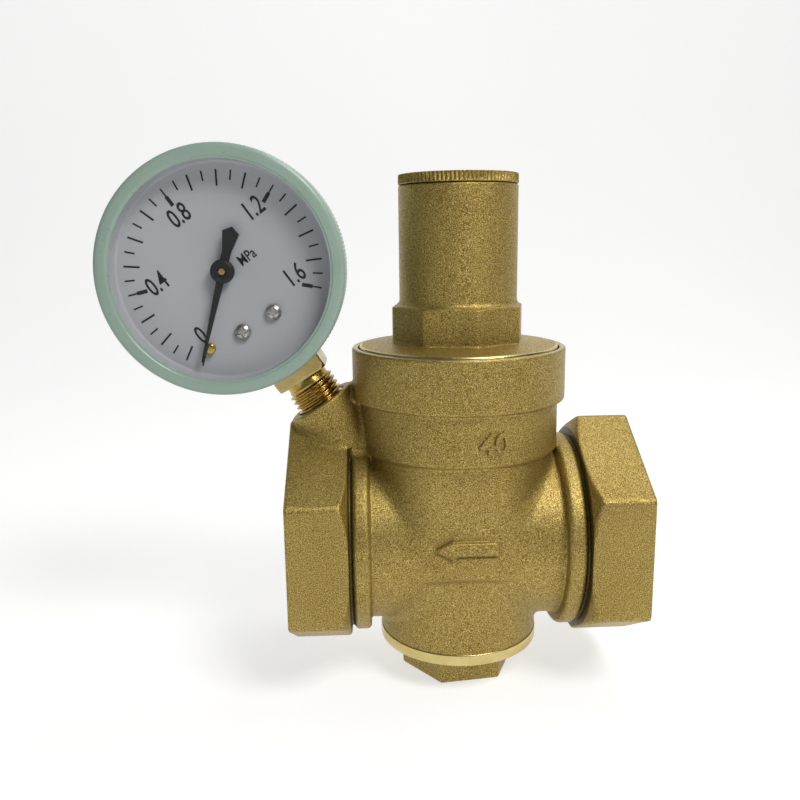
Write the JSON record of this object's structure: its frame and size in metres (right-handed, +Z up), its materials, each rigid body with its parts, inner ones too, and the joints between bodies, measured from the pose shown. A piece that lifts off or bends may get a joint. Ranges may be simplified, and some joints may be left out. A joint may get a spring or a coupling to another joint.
{
  "type": "pressure reducing valve",
  "caption": "Threaded brass pressure reducing valve: spring bonnet with screw cap, piston and valve disc inside, bottom plug, and a round dial gauge on the outlet side.",
  "frame": {"origin": "centre of the bottom plug's flat face, on the vertical valve axis", "axes": "+Z up along the valve axis, +X out of the inlet port, -X out of the outlet port and towards the gauge, -Y to the front, where the dial and flow arrow face"},
  "size_m": [0.1398, 0.0586, 0.1462],
  "materials": {
    "cast_brass": "shot-blasted forging, fine sparkling grain",
    "machined_brass": "turned and bright",
    "stainless_steel": "turned",
    "spring_steel": "drawn wire, satin",
    "black_rubber": "matte moulded",
    "white_seal": "matte",
    "green_paint": "semi-gloss pale green enamel",
    "dial_white": "matte printed",
    "black_paint": "matte",
    "clear_glass": "clear polished"
  },
  "bodies": {
    "valve": {"valve_body": "cast_brass", "bonnet": "cast_brass", "bonnet_gasket": "white_seal", "seat_ring": "stainless_steel", "seat_gasket": "white_seal", "bottom_plug": "machined_brass", "plug_gasket": "white_seal", "adjusting_spring": "spring_steel", "gauge_socket": "machined_brass", "gauge_case": "green_paint", "bezel": "green_paint", "window": "clear_glass", "window_gasket": "white_seal", "dial": "dial_white", "dial_screw_left": "stainless_steel", "dial_screw_right": "stainless_steel", "zero_stop_pin": "machined_brass", "movement_back_plate": "machined_brass", "movement_front_plate": "machined_brass", "movement_pillar_upper": "machined_brass", "movement_pillar_lower": "machined_brass", "movement_screw_left": "stainless_steel", "movement_screw_right": "stainless_steel", "bourdon_tube": "machined_brass", "tube_tip": "machined_brass", "hairspring": "spring_steel"},
    "cap_ring": {"cap_seal": "black_rubber"},
    "screw_cap": {"cap": "cast_brass"},
    "spring_seat": {"upper_spring_seat": "stainless_steel"},
    "adjuster": {"adjusting_screw": "machined_brass"},
    "piston_group": {"piston": "machined_brass", "piston_o_ring": "black_rubber", "piston_nut": "stainless_steel", "stem": "stainless_steel", "disc_washer": "stainless_steel", "disc_seal": "black_rubber", "disc_holder": "machined_brass", "guide_o_ring": "black_rubber"},
    "pointer_arbor": {"pointer": "black_paint", "pinion": "machined_brass"},
    "sector": {"sector_gear": "machined_brass", "link_pin_sector": "stainless_steel"},
    "link_bar": {"link": "machined_brass", "link_pin_tip": "stainless_steel"}
  },
  "joints": [
    {"name": "cap_lift", "type": "slide", "parent": "valve", "child": "cap_ring", "axis": [0, 0, 1], "range_m": [0, 0.0045]},
    {"name": "cap_turn", "type": "hinge", "parent": "cap_ring", "child": "screw_cap", "pos_m": [0, 0, 0.138], "axis": [0, 0, 1], "range_deg": [0, 1081]},
    {"name": "seat_travel", "type": "slide", "parent": "valve", "child": "spring_seat", "axis": [0, 0, 1], "range_m": [-0.009, 0.00225], "deforming": ["adjusting_spring"]},
    {"name": "screw_turn", "type": "hinge", "parent": "spring_seat", "child": "adjuster", "pos_m": [0, 0, 0.1245], "axis": [0, 0, 1], "range_deg": [-2161, 541]},
    {"name": "piston_slide", "type": "slide", "parent": "valve", "child": "piston_group", "axis": [0, 0, 1], "range_m": [0, 0.0044], "deforming": ["adjusting_spring"]},
    {"name": "sector_turn", "type": "hinge", "parent": "valve", "child": "sector", "pos_m": [-0.05443, 0, 0.12716], "axis": [0, 1, 0], "range_deg": [-33.25, 0]},
    {"name": "pointer_turn", "type": "hinge", "parent": "valve", "child": "pointer_arbor", "pos_m": [-0.06081, 0, 0.11526], "axis": [0, 1, 0], "range_deg": [0, 266.1]},
    {"name": "link_turn", "type": "hinge", "parent": "sector", "child": "link_bar", "pos_m": [-0.04861, 0, 0.12404], "axis": [0, 1, 0], "range_deg": [0, 33.3]}
  ],
  "couplings": [
    {"joint": "cap_turn", "follows": "cap_lift", "rad_per_m": 4188.8},
    {"joint": "screw_turn", "follows": "seat_travel", "rad_per_m": 4188.8},
    {"joint": "pointer_turn", "follows": "sector_turn", "ratio": -8},
    {"joint": "link_turn", "follows": "sector_turn", "ratio": -1}
  ]
}
